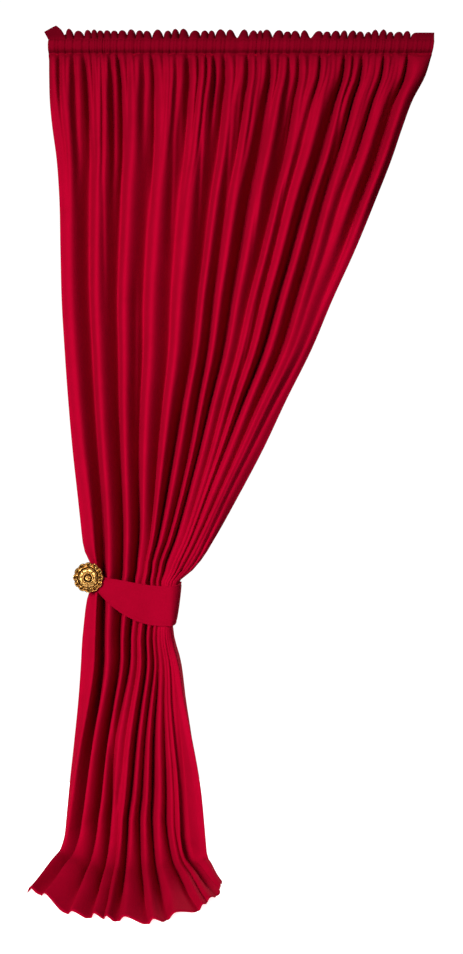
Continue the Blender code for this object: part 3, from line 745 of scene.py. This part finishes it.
def floor_row(angle, share, fold, phase, trail):
    """The points of one row in the turn onto the floor, or at a share of the run beyond it."""
    foot_drop = -FLOOR_Z
    turned = math.radians(angle)
    level = math.sin(turned)
    x, relief = section_each(foot_drop - trail.radius * (1 - level) + HEM_BEYOND * share, fold, phase)
    if angle == 90:
        x = trail.foot[:, 0]
    lobes = np.array(HEM_LOBES)[fold] * ease(phase / LOBE_ENDS[0]) * ease((1 - phase) / LOBE_ENDS[1])
    forward = trail.radius * (1 - math.cos(turned)) + share * (trail.length + lobes - trail.radius)
    rest = 0.5 * (TRAIL_DEPTH + CLOTH) + trail.radius * (1 - level)
    _, _, (depth, _) = valley_lines(foot_drop)
    hanging_out = (relief - 0.5) * depth
    height = FLOOR_RIDGE_HEIGHT + (HEM_RIDGE_HEIGHT - FLOOR_RIDGE_HEIGHT) * ease(share)
    power = 1 + (HEM_RIDGE_POWER - 1) * ease(share)
    ridge = height * np.maximum(relief, 0) ** power - 0.5 * TRAIL_DEPTH
    plan = np.column_stack([x, trail.foot[:, 1]])
    plan = plan + trail.heading * (forward + hanging_out * math.cos(turned))[:, None]
    return np.column_stack([plan, FLOOR_Z + rest + ridge * level])


def drape_rows():
    fold, phase = cloth_columns(PLEATS, SAMPLES_PER_PLEAT)
    trail = Trail(fold, phase)
    spread = np.linspace(0, 1, HANGING_ROWS)
    top = SEAM_DROPS[0]
    spread = EVEN_ROWS * spread + (1 - EVEN_ROWS) * spread ** ROW_CROWDING
    drops = top + (LAST_HANGING_DROP - top) * spread
    rows = [draped_row(drop, fold, phase, trail) for drop in drops]
    rows += [floor_row(angle, 0, fold, phase, trail) for angle in np.linspace(0, 90, BEND_ROWS)]
    rows += [floor_row(90, share, fold, phase, trail)
             for share in np.linspace(0, 1, TRAIL_ROWS + 1)[1:]]
    return np.array(rows)


def sheet_object(name, rows, material, thickness, keep=None):
    """A closed sheet of cloth through rows of points; keep says which of its faces stay."""
    down, along = rows.shape[:2]
    mesh = bpy.data.meshes.new(name)
    index = np.arange(down * along).reshape(down, along)
    quads = np.stack([index[:-1, :-1], index[1:, :-1], index[1:, 1:], index[:-1, 1:]], axis=-1)
    quads = quads.reshape(-1, 4)
    if keep is not None:
        quads = quads[keep.reshape(-1)]
    mesh.from_pydata(rows.reshape(-1, 3).tolist(), [], quads.tolist())
    mesh.materials.append(material)
    obj = bpy.data.objects.new(name, mesh)
    scene.collection.objects.link(obj)
    solidify = obj.modifiers.new("cloth thickness", "SOLIDIFY")
    solidify.thickness = thickness
    solidify.offset = 0
    mesh.shade_smooth()
    return obj


def dress(piece, node):
    """The piece rides on the curtain's one body and stands for its solid, which is hidden."""
    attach(piece, "root")
    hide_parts(node)


drape = sheet_object("velvet_drape", drape_rows(), velvet, CLOTH)
dress(drape, "panel")
print("drape points", len(drape.data.vertices))

# %% [markdown]
# The heading
# The top of the cloth is turned over to the back and stitched twice. Between the stitch lines is the
# pocket for the rod, open at both ends, and above them the doubled edge stands up as a frill. Gathering
# it throws the frill into loops, each wider at its top than at its stitches. A section through it is one
# line of cloth, up the front and down the back to its turned edge, which hangs behind the seam. So it is
# drawn as a smooth curve through a few points and repeated along the rod.

# %% Build the heading
HEADING_CLOTH = 0.0018
LAYER_GAP = 0.0013
HEADING_LEFT = -0.521
HEADING_RIGHT = 0.520
LOWER_STITCH_Z = -0.0165
UPPER_STITCH_Z = 0.0190
TURNED_EDGE_Z = -0.0228
POCKET_DEPTH = 0.0118
FRILL_DIP_Z = 0.0300
FRILL_CREST_Z = 0.0460
FRILL_SLOPE = -0.0035
FRILL_PLAIN_Z = 0.0375
FRILL_OUT = 0.0095
FRILL_SPREAD = 0.0034
FRILL_TIP = 0.0034
FRILL_UNEVEN = (-0.0060, 0.0016)
FRILL_SWING = (0.55, 1.25)
FRILL_ROUND = 0.7
FRILL_WAIST = 0.62
PUCKER = 0.0030
PUCKER_AT_STITCHES = 0.55
STITCH_WANDER = 0.0015
COLUMNS_PER_RUFFLE = 12
POINTS_BETWEEN = 4
frill_height = rng.uniform(*FRILL_UNEVEN, 2 * sum(RUFFLES) + 2)
frill_tip = rng.uniform(-FRILL_TIP, FRILL_TIP, sum(RUFFLES) + 2)
frill_swing = rng.uniform(*FRILL_SWING, sum(RUFFLES) + 2)

# The frill's left end stands away from its neighbours as a small flap
FLAP_TABLE = (
    # x at the stitches, x at the top, top z, how far it leans out
    (-0.521, -0.531, 0.0370, 0.010),
    (-0.508, -0.514, 0.0460, 0.011),
    (-0.496, -0.499, 0.0540, 0.009),
    (-0.486, -0.486, 0.0440, 0.006),
    (-0.478, -0.478, 0.0310, 0.001),
)


def heading_section(wave, pucker, top, seam, lean):
    """Points in Y and Z from the lower seam up the front, over the frill and down the back."""
    front, back = -LAYER_GAP, LAYER_GAP
    pinch = -PUCKER_AT_STITCHES * PUCKER * pucker
    upper = UPPER_STITCH_Z + STITCH_WANDER * pucker
    frill = -FRILL_OUT * wave - lean
    middle_z = 0.5 * (UPPER_STITCH_Z + top)
    return (
        (seam, HEADING_BOTTOM_Z),
        (0.5 * seam + pinch, LOWER_STITCH_Z),
        (-0.80 * POCKET_DEPTH - PUCKER * pucker, -0.0095),
        (-POCKET_DEPTH - 0.5 * PUCKER * pucker, 0.0010),
        (-0.84 * POCKET_DEPTH - PUCKER * pucker, 0.0110),
        (front + pinch - 0.0012, upper - 0.0012),
        (front + pinch - 0.0008, upper + 0.0012),
        (front + FRILL_WAIST * frill, middle_z),
        (front + frill, top - 0.0016),
        (frill, top),
        (back + frill, top - 0.0016),
        (back + FRILL_WAIST * frill, middle_z),
        (back + pinch, upper + 0.0015),
        (back + pinch, upper - 0.0010),
        (0.86 * POCKET_DEPTH - 0.5 * PUCKER * pucker, 0.0115),
        (POCKET_DEPTH, 0.0010),
        (0.80 * POCKET_DEPTH - 0.5 * PUCKER * pucker, -0.0095),
        (0.5 * seam + pinch + 0.0024, LOWER_STITCH_Z),
        (seam + 0.0030, TURNED_EDGE_Z),
    )


def heading_rows():
    fold, phase = cloth_columns(RUFFLES, COLUMNS_PER_RUFFLE)
    lines = np.array(VALLEY_PLACES)[:, 0]
    share = lines[fold] + (lines[fold + 1] - lines[fold]) * phase
    x = HEADING_LEFT + (HEADING_RIGHT - HEADING_LEFT) * share
    seam_right = EDGE_TABLE[0][2]
    x_seam = HEADING_LEFT + (seam_right - HEADING_LEFT) * share
    wave = ruffle_wave(fold, phase)
    turn = np.concatenate([[0], np.cumsum(RUFFLES)])[fold] + ruffle_turn(fold, phase)
    # The pocket puckers with each ruffle, and in two finer waves that drift against it
    pucker = 0.45 * wave + 0.35 * np.sin(2 * np.pi * 2.3 * turn + 2.1 * np.sin(turn))
    pucker = pucker + 0.35 * np.sin(2 * np.pi * 3.4 * turn + 2.7 * np.sin(1.3 * turn)) * np.sin(0.7 * turn)
    crest = (0.5 + 0.5 * wave) ** FRILL_ROUND
    own = np.interp(2 * turn, np.arange(len(frill_height)), frill_height)
    top = FRILL_DIP_Z + (FRILL_CREST_Z - FRILL_DIP_Z) * crest + FRILL_SLOPE * share + own
    plain = ease(phase / PLAIN_END_REACH) * (fold == len(RUFFLES) - 1)
    top = top * (1 - plain) + FRILL_PLAIN_Z * plain
    flap = np.array(FLAP_TABLE)
    on_flap = x < flap[-1, 0]
    flap_x, flap_top, flap_lean = (np.interp(x, flap[:, 0], flap[:, k]) for k in (1, 2, 3))
    top = np.where(on_flap, flap_top, top)
    lean = np.where(on_flap, flap_lean, 0.0)
    wave = np.where(on_flap, 0.0, wave * np.interp(turn, np.arange(len(frill_swing)), frill_swing))
    tip = np.interp(turn, np.arange(len(frill_tip)), frill_tip)
    sway = (tip - FRILL_SPREAD * np.sin(2 * np.pi * turn)) * (1 - plain)
    x_top = np.where(on_flap, flap_x, x + sway)
    columns = []
    for k in range(len(x)):
        seam = -SEAM_WAVE * ruffle_wave(fold, phase)[k]
        section = np.array(heading_section(wave[k], pucker[k], top[k], seam, lean[k]))
        levels = np.linspace(0, len(section) - 1, (len(section) - 1) * POINTS_BETWEEN + 1)
        yz = np.array([smooth(np.arange(len(section)), section, level) for level in levels])
        up = np.clip((yz[:, 1] - UPPER_STITCH_Z) / (top[k] - UPPER_STITCH_Z), 0, 1)
        down = np.clip((UPPER_STITCH_Z - yz[:, 1]) / (UPPER_STITCH_Z - HEADING_BOTTOM_Z), 0, 1)
        along = x[k] + (x_top[k] - x[k]) * up + (x_seam[k] - x[k]) * down
        columns.append(np.column_stack([along, yz]))
    return np.transpose(np.array(columns), (1, 0, 2))


heading = sheet_object("gathered_heading", heading_rows(), velvet, HEADING_CLOTH)
dress(heading, "heading")
print("heading points", len(heading.data.vertices))

# %% [markdown]
# The tieback
# A tieback is cut as a crescent from two layers of the velvet, so that it lies smoothly round the bundle.
# It stands a little proud in its middle, and a line of stitches holds its turned edge. Each of its narrow
# ends has a buttonhole that slips over the stem of the holdback, which is made by leaving out the faces
# over the stem.

# %% Build the tieback
TIE_CLOTH = 0.0025
TIE_FRONT_Y = -0.0310
TIE_BACK_Y = 0.0490
TIE_END_X = -0.432
TIE_STRAIGHT_STEPS = 72
TIE_TURN_STEPS = 44
TIE_HEIGHT_STEPS = 34
TIE_CROWN = 0.0022
TIE_CROWN_ROUND = 0.6
TIE_CROWN_FROM = 0.05
TIE_CROWN_REACH = 0.06
TIE_STITCH_IN = 0.0055
TIE_STITCH_DEPTH = 0.0015
TIE_STITCH_HALF_WIDTH = 0.0022
TIE_TABLE = (
    # distance from either end, top z, bottom z
    (0.000, -1.412, -1.440),
    (0.012, -1.406, -1.447),
    (0.046, -1.420, -1.466),
    (0.065, -1.427, -1.486),
    (0.100, -1.433, -1.516),
    (0.148, -1.442, -1.543),
    (0.196, -1.449, -1.556),
    (0.242, -1.451, -1.558),
    (0.298, -1.445, -1.555),
)
TIE_RIPPLES = (
    # distance along the band, lean for each metre of height, half width, height of the ripple
    (0.075, 0.35, 0.012, 0.0006),
    (0.118, 0.60, 0.020, 0.0007),
    (0.165, 0.45, 0.018, -0.0005),
    (0.205, 0.30, 0.024, 0.0006),
)
STEM_X = -0.409
STEM_Z = -1.4262
STEM_RADIUS = 0.0055
HOLE_CLEARANCE = 0.0006
HOLE_RADIUS = STEM_RADIUS + HOLE_CLEARANCE


def tie_path():
    """x, y, how far round the turn, and the outward direction at each step along the band."""
    straight = np.linspace(TIE_END_X, TIE_TURN_X, TIE_STRAIGHT_STEPS + 1)
    angles = np.linspace(0, math.pi, TIE_TURN_STEPS + 1)[1:-1]
    middle = 0.5 * (TIE_FRONT_Y + TIE_BACK_Y)
    half = 0.5 * (TIE_BACK_Y - TIE_FRONT_Y)
    front = [(x, TIE_FRONT_Y, 0, 0, -1) for x in straight]
    turn = [(TIE_TURN_X + TIE_TURN_REACH * math.sin(a), middle - half * math.cos(a), math.sin(a),
             math.sin(a), -math.cos(a)) for a in angles]
    back = [(x, TIE_BACK_Y, 0, 0, 1) for x in straight[::-1]]
    return np.array(front + turn + back)


def tie_rows():
    path = tie_path()
    along = np.concatenate([[0], np.cumsum(np.linalg.norm(np.diff(path[:, :2], axis=0), axis=1))])
    near_end = np.minimum(along, along[-1] - along)
    table = np.array(TIE_TABLE)
    heights = np.array([smooth(table[:, 0], table[:, 1:], d) for d in near_end])
    tall = heights[:, 0] - heights[:, 1]
    rows = []
    for k in range(TIE_HEIGHT_STEPS + 1):
        share = k / TIE_HEIGHT_STEPS
        z = heights[:, 0] - tall * share
        proud = TIE_CROWN * math.sin(math.pi * share) ** TIE_CROWN_ROUND
        proud = proud * ease((near_end - TIE_CROWN_FROM) / TIE_CROWN_REACH)
        for edge in (share * tall, (1 - share) * tall):
            from_stitch = (edge - TIE_STITCH_IN) / TIE_STITCH_HALF_WIDTH
            proud = proud - TIE_STITCH_DEPTH * np.exp(-from_stitch ** 2)
        for distance, lean, half_width, height in TIE_RIPPLES:
            off = (near_end - distance - lean * (heights[:, 0] - z)) / half_width
            proud = proud + height * np.exp(-off ** 2) * math.sin(math.pi * share)
        x = path[:, 0] - TIE_LEAN * path[:, 2] * (heights[:, 0] - z) + path[:, 3] * proud
        rows.append(np.column_stack([x, path[:, 1] + path[:, 4] * proud, z]))
    return np.array(rows)


def open_buttonholes(rows):
    """Opens the faces over the stem, and draws the points round them onto the hole's rim."""
    away = np.hypot(rows[..., 0] - STEM_X, rows[..., 2] - STEM_Z)
    inside = away < HOLE_RADIUS
    first, second = slice(None, -1), slice(1, None)
    corners = [(row, column) for row in (first, second) for column in (first, second)]
    touched = np.any([inside[corner] for corner in corners], axis=0)
    rim = np.zeros_like(inside)
    for corner in corners:
        rim[corner] |= touched
    rim &= ~inside
    pull = np.where(rim, HOLE_RADIUS / np.maximum(away, 1e-9), 1.0)
    rows[..., 0] = STEM_X + (rows[..., 0] - STEM_X) * pull
    rows[..., 2] = STEM_Z + (rows[..., 2] - STEM_Z) * pull
    return ~touched


band_rows = tie_rows()
band_faces = open_buttonholes(band_rows)
tieback = sheet_object("crescent_tieback", band_rows, pressed_velvet, TIE_CLOTH, band_faces)
dress(tieback, "tieback")
print("tieback points", len(tieback.data.vertices))

# %% [markdown]
# Antiqued cast brass
# The holdback is cast in brass and darkened with a patina, which is rubbed off again wherever a cloth can
# reach. So the crests are bright and yellow, the hollows stay almost black, and the surface between is
# brown and a little rough. An attribute made with the casting says how high each point stands above what
# is round it.

# %% Brass finish
BRASS_BRIGHT = "#E2B56A"
BRASS_BROWN = "#946530"
BRASS_DARK = "#2E1C0A"
# The sand of the mould is 0.3 mm or finer, so its grain is drawn coarser here, to show at all
CAST_GRAIN_MM = 1.2
BRASS_ROUGHNESS = (0.62, 0.30)
PATINA_STOPS = (0.12, 0.42, 0.85)


def brass_material(name, rubbed="worn"):
    """Brass that is bright where the rubbed attribute is 1, and patinated where it is 0 or missing."""
    material = new_material(name)
    place = add_node(material, "ShaderNodeTexCoord").outputs["Object"]
    worn = add_node(material, "ShaderNodeAttribute", {"attribute_name": rubbed}).outputs["Fac"]
    grain = add_node(material, "ShaderNodeTexNoise",
                     {"Scale": 1000 / CAST_GRAIN_MM, "Detail": 3.0}, {"Vector": place})
    uneven = add_node(material, "ShaderNodeMath", {"operation": "MULTIPLY_ADD", 1: 0.30, 2: -0.15},
                      {0: grain.outputs["Fac"]})
    level = add_node(material, "ShaderNodeMath", {"operation": "ADD", "use_clamp": True},
                     {0: worn, 1: uneven.outputs["Value"]})
    ramp = add_node(material, "ShaderNodeValToRGB", links={"Fac": level.outputs["Value"]})
    stops = ramp.color_ramp.elements
    stops.new(PATINA_STOPS[1])
    for stop, position, colour in zip(stops, PATINA_STOPS, (BRASS_DARK, BRASS_BROWN, BRASS_BRIGHT)):
        stop.position = position
        stop.color = linear(colour)
    roughness = add_node(material, "ShaderNodeMapRange",
                         {"To Min": BRASS_ROUGHNESS[0], "To Max": BRASS_ROUGHNESS[1]},
                         {"Value": level.outputs["Value"]})
    bump = add_node(material, "ShaderNodeBump", {"Strength": 0.35, "Distance": 0.0004},
                    {"Height": grain.outputs["Fac"]})
    shader = add_node(material, "ShaderNodeBsdfPrincipled", {"Metallic": 1.0},
                      {"Base Color": ramp.outputs["Color"], "Roughness": roughness.outputs["Result"],
                       "Normal": bump.outputs["Normal"]})
    add_node(material, "ShaderNodeOutputMaterial", links={"Surface": shader.outputs["BSDF"]})
    return material


antique_brass = brass_material("antiqued cast brass")
print("brass:", BRASS_DARK, BRASS_BROWN, BRASS_BRIGHT)

# %% [markdown]
# The rosette
# A casting is one skin of metal pulled from a mould, so it can be described by its height above the back
# at each radius and angle. Scalloped loops with a bead in each make the outer tier, eight cupped petals
# the middle one, and a rolled cup holds the bud in the centre. All are sums of soft bumps on a polar
# grid, and a slight wander keeps them as uneven as a casting is. The worn attribute compares each height
# with the mean near it.

# %% Build the rosette
ROSETTE_RADIUS = 0.0405
ROSETTE_BACK_Y = -0.0370
LOBES = 12
LOBE_CUT = 0.085
WANDER = 0.026
PETALS = 8
BEAD_RING = 0.0335
LOOP_RADIUS = 0.0047
ROSETTE_TURNS = 288
ROSETTE_RINGS = 96
WORN_REACH = 6
WORN_LEVEL = 0.50
WORN_GAIN = 0.42
WORN_BACK = 0.45
RIM_EDGE = 0.0012
SHARP_DEGREES = 60


def bump_at(distance, width):
    return np.exp(-(distance / width) ** 2)


def rosette_height(share, angle):
    """Height of the casting's face above its back in mm, at a share of its radius."""
    share = share * (1 + WANDER * np.sin(3 * angle + 1.0) + 0.6 * WANDER * np.sin(7 * angle + 2.0))
    angle = angle + 1.5 * WANDER * np.sin(5 * angle + 14 * share)
    radius = 1000 * ROSETTE_RADIUS * share
    lobe = np.mod(angle * LOBES / (2 * np.pi) + 0.5, 1) - 0.5
    sideways = lobe * 2 * np.pi / LOBES * radius
    from_bead = np.hypot(radius - 1000 * BEAD_RING, sideways)
    # The dome and its rim, and the loops with their beads
    height = 3.2 + 7.5 * np.maximum(1 - share ** 2, 0) ** 1.2
    height += 1.9 * bump_at(share - 0.965, 0.030)
    height += 2.2 * bump_at(from_bead - 1000 * LOOP_RADIUS, 0.95) * (share > 0.66)
    height -= 2.0 * bump_at(from_bead, 2.9)
    height += 2.6 * bump_at(from_bead, 1.35)
    height -= 1.7 * bump_at(share - 0.675, 0.035)
    # The petals, with a vein along each and a pit between their tips
    petal = np.mod(angle * PETALS / (2 * np.pi), 1) - 0.5
    inside = np.clip((share - 0.27) / 0.38, 0, 1)
    round_petal = np.sin(np.pi * inside ** 1.25) ** 0.8
    height += 3.4 * round_petal * (0.62 + 0.38 * np.cos(np.pi * petal) ** 0.9)
    height -= 0.5 * round_petal * bump_at(petal, 0.07)
    from_pit = np.hypot(radius - 23.5, (np.abs(petal) - 0.5) * 2 * np.pi / PETALS * radius)
    height -= 1.8 * bump_at(from_pit, 1.5)
    # The rolled cup and the bud in it
    rolled = 0.8 + 0.35 * np.cos(9 * angle + 0.8)
    height += 2.9 * bump_at(share - 0.31 * (1 + 0.03 * np.cos(5 * angle)), 0.050) * rolled
    height -= 1.5 * bump_at(share - 0.225, 0.035)
    bud = np.clip(1 - (share / 0.20) ** 2, 0, 1) ** 0.5
    height += 5.6 * bud + 0.55 * bud * np.cos(3 * angle + 55 * share)
    return height


def rosette_object(name, material):
    angle = np.linspace(0, 2 * np.pi, ROSETTE_TURNS, endpoint=False)
    share = np.linspace(1, 0, ROSETTE_RINGS, endpoint=False)
    rings, turns = np.meshgrid(share, angle, indexing="ij")
    height = rosette_height(rings, turns)
    around = np.zeros_like(height)
    for shift in (-WORN_REACH, 0, WORN_REACH):
        rolled = np.roll(height, shift, axis=1)
        padded = np.pad(rolled, ((WORN_REACH, WORN_REACH), (0, 0)), mode="edge")
        around += padded[:ROSETTE_RINGS] + rolled + padded[2 * WORN_REACH:]
    worn = np.clip(WORN_LEVEL + WORN_GAIN * (height - around / 9), 0, 1)
    scallop = 1 - LOBE_CUT * (1 - np.abs(np.cos(0.5 * LOBES * turns)) ** 0.7)
    reach = ROSETTE_RADIUS * rings * (1 - (1 - scallop) * rings ** 3)
    points = np.stack([STEM_X + reach * np.cos(turns), ROSETTE_BACK_Y - height / 1000,
                       STEM_Z + reach * np.sin(turns)], axis=-1).reshape(-1, 3)
    back = points[:ROSETTE_TURNS].copy()
    back[:, 1] = ROSETTE_BACK_Y
    rim = back.copy()
    rim[:, 1] -= RIM_EDGE
    count = len(points)
    mesh = bpy.data.meshes.new(name)
    index = np.arange(count).reshape(ROSETTE_RINGS, ROSETTE_TURNS)
    following = np.roll(index, -1, axis=1)
    quads = np.stack([index[:-1], following[:-1], following[1:], index[1:]], axis=-1).reshape(-1, 4)
    ring = np.arange(ROSETTE_TURNS)
    after = np.roll(ring, -1)
    rim_at, back_at = count, count + ROSETTE_TURNS
    side = [(rim_at + a, rim_at + b, b, a) for a, b in zip(ring, after)]
    side += [(back_at + a, back_at + b, rim_at + b, rim_at + a) for a, b in zip(ring, after)]
    centre = (ROSETTE_RINGS - 1) * ROSETTE_TURNS
    faces = quads.tolist() + side + [tuple(centre + ring), tuple(back_at + ring[::-1])]
    every = np.concatenate([points, rim, back])
    mesh.from_pydata(every.tolist(), [], [tuple(int(v) for v in face) for face in faces])
    attribute = mesh.attributes.new("worn", "FLOAT", "POINT")
    dull = np.full(2 * ROSETTE_TURNS, WORN_BACK)
    attribute.data.foreach_set("value", np.concatenate([worn.reshape(-1), dull]).astype(np.float32))
    mesh.materials.append(material)
    obj = bpy.data.objects.new(name, mesh)
    scene.collection.objects.link(obj)
    bm = bmesh.new()
    bm.from_mesh(mesh)
    bmesh.ops.recalc_face_normals(bm, faces=bm.faces)
    bm.to_mesh(mesh)
    bm.free()
    mesh.shade_smooth()
    mesh.set_sharp_from_angle(angle=math.radians(SHARP_DEGREES))
    return obj


rosette = rosette_object("cast_rosette", antique_brass)
dress(rosette, "holdback_rosette")
print("rosette points", len(rosette.data.vertices))

# %% [markdown]
# The stem
# The turned stem and its flange have their true shape in the solid model, so they stay as they are.
# Nobody rubs them, so they keep their dark patina: the brass is given an attribute that they don't have,
# which reads 0.

# %% Finish the stem
stem = bpy.data.objects["holdback_stem"]
stem.data.materials.clear()
stem.data.materials.append(brass_material("dulled turned brass", "turned"))
print("stem", len(stem.data.vertices), "points")
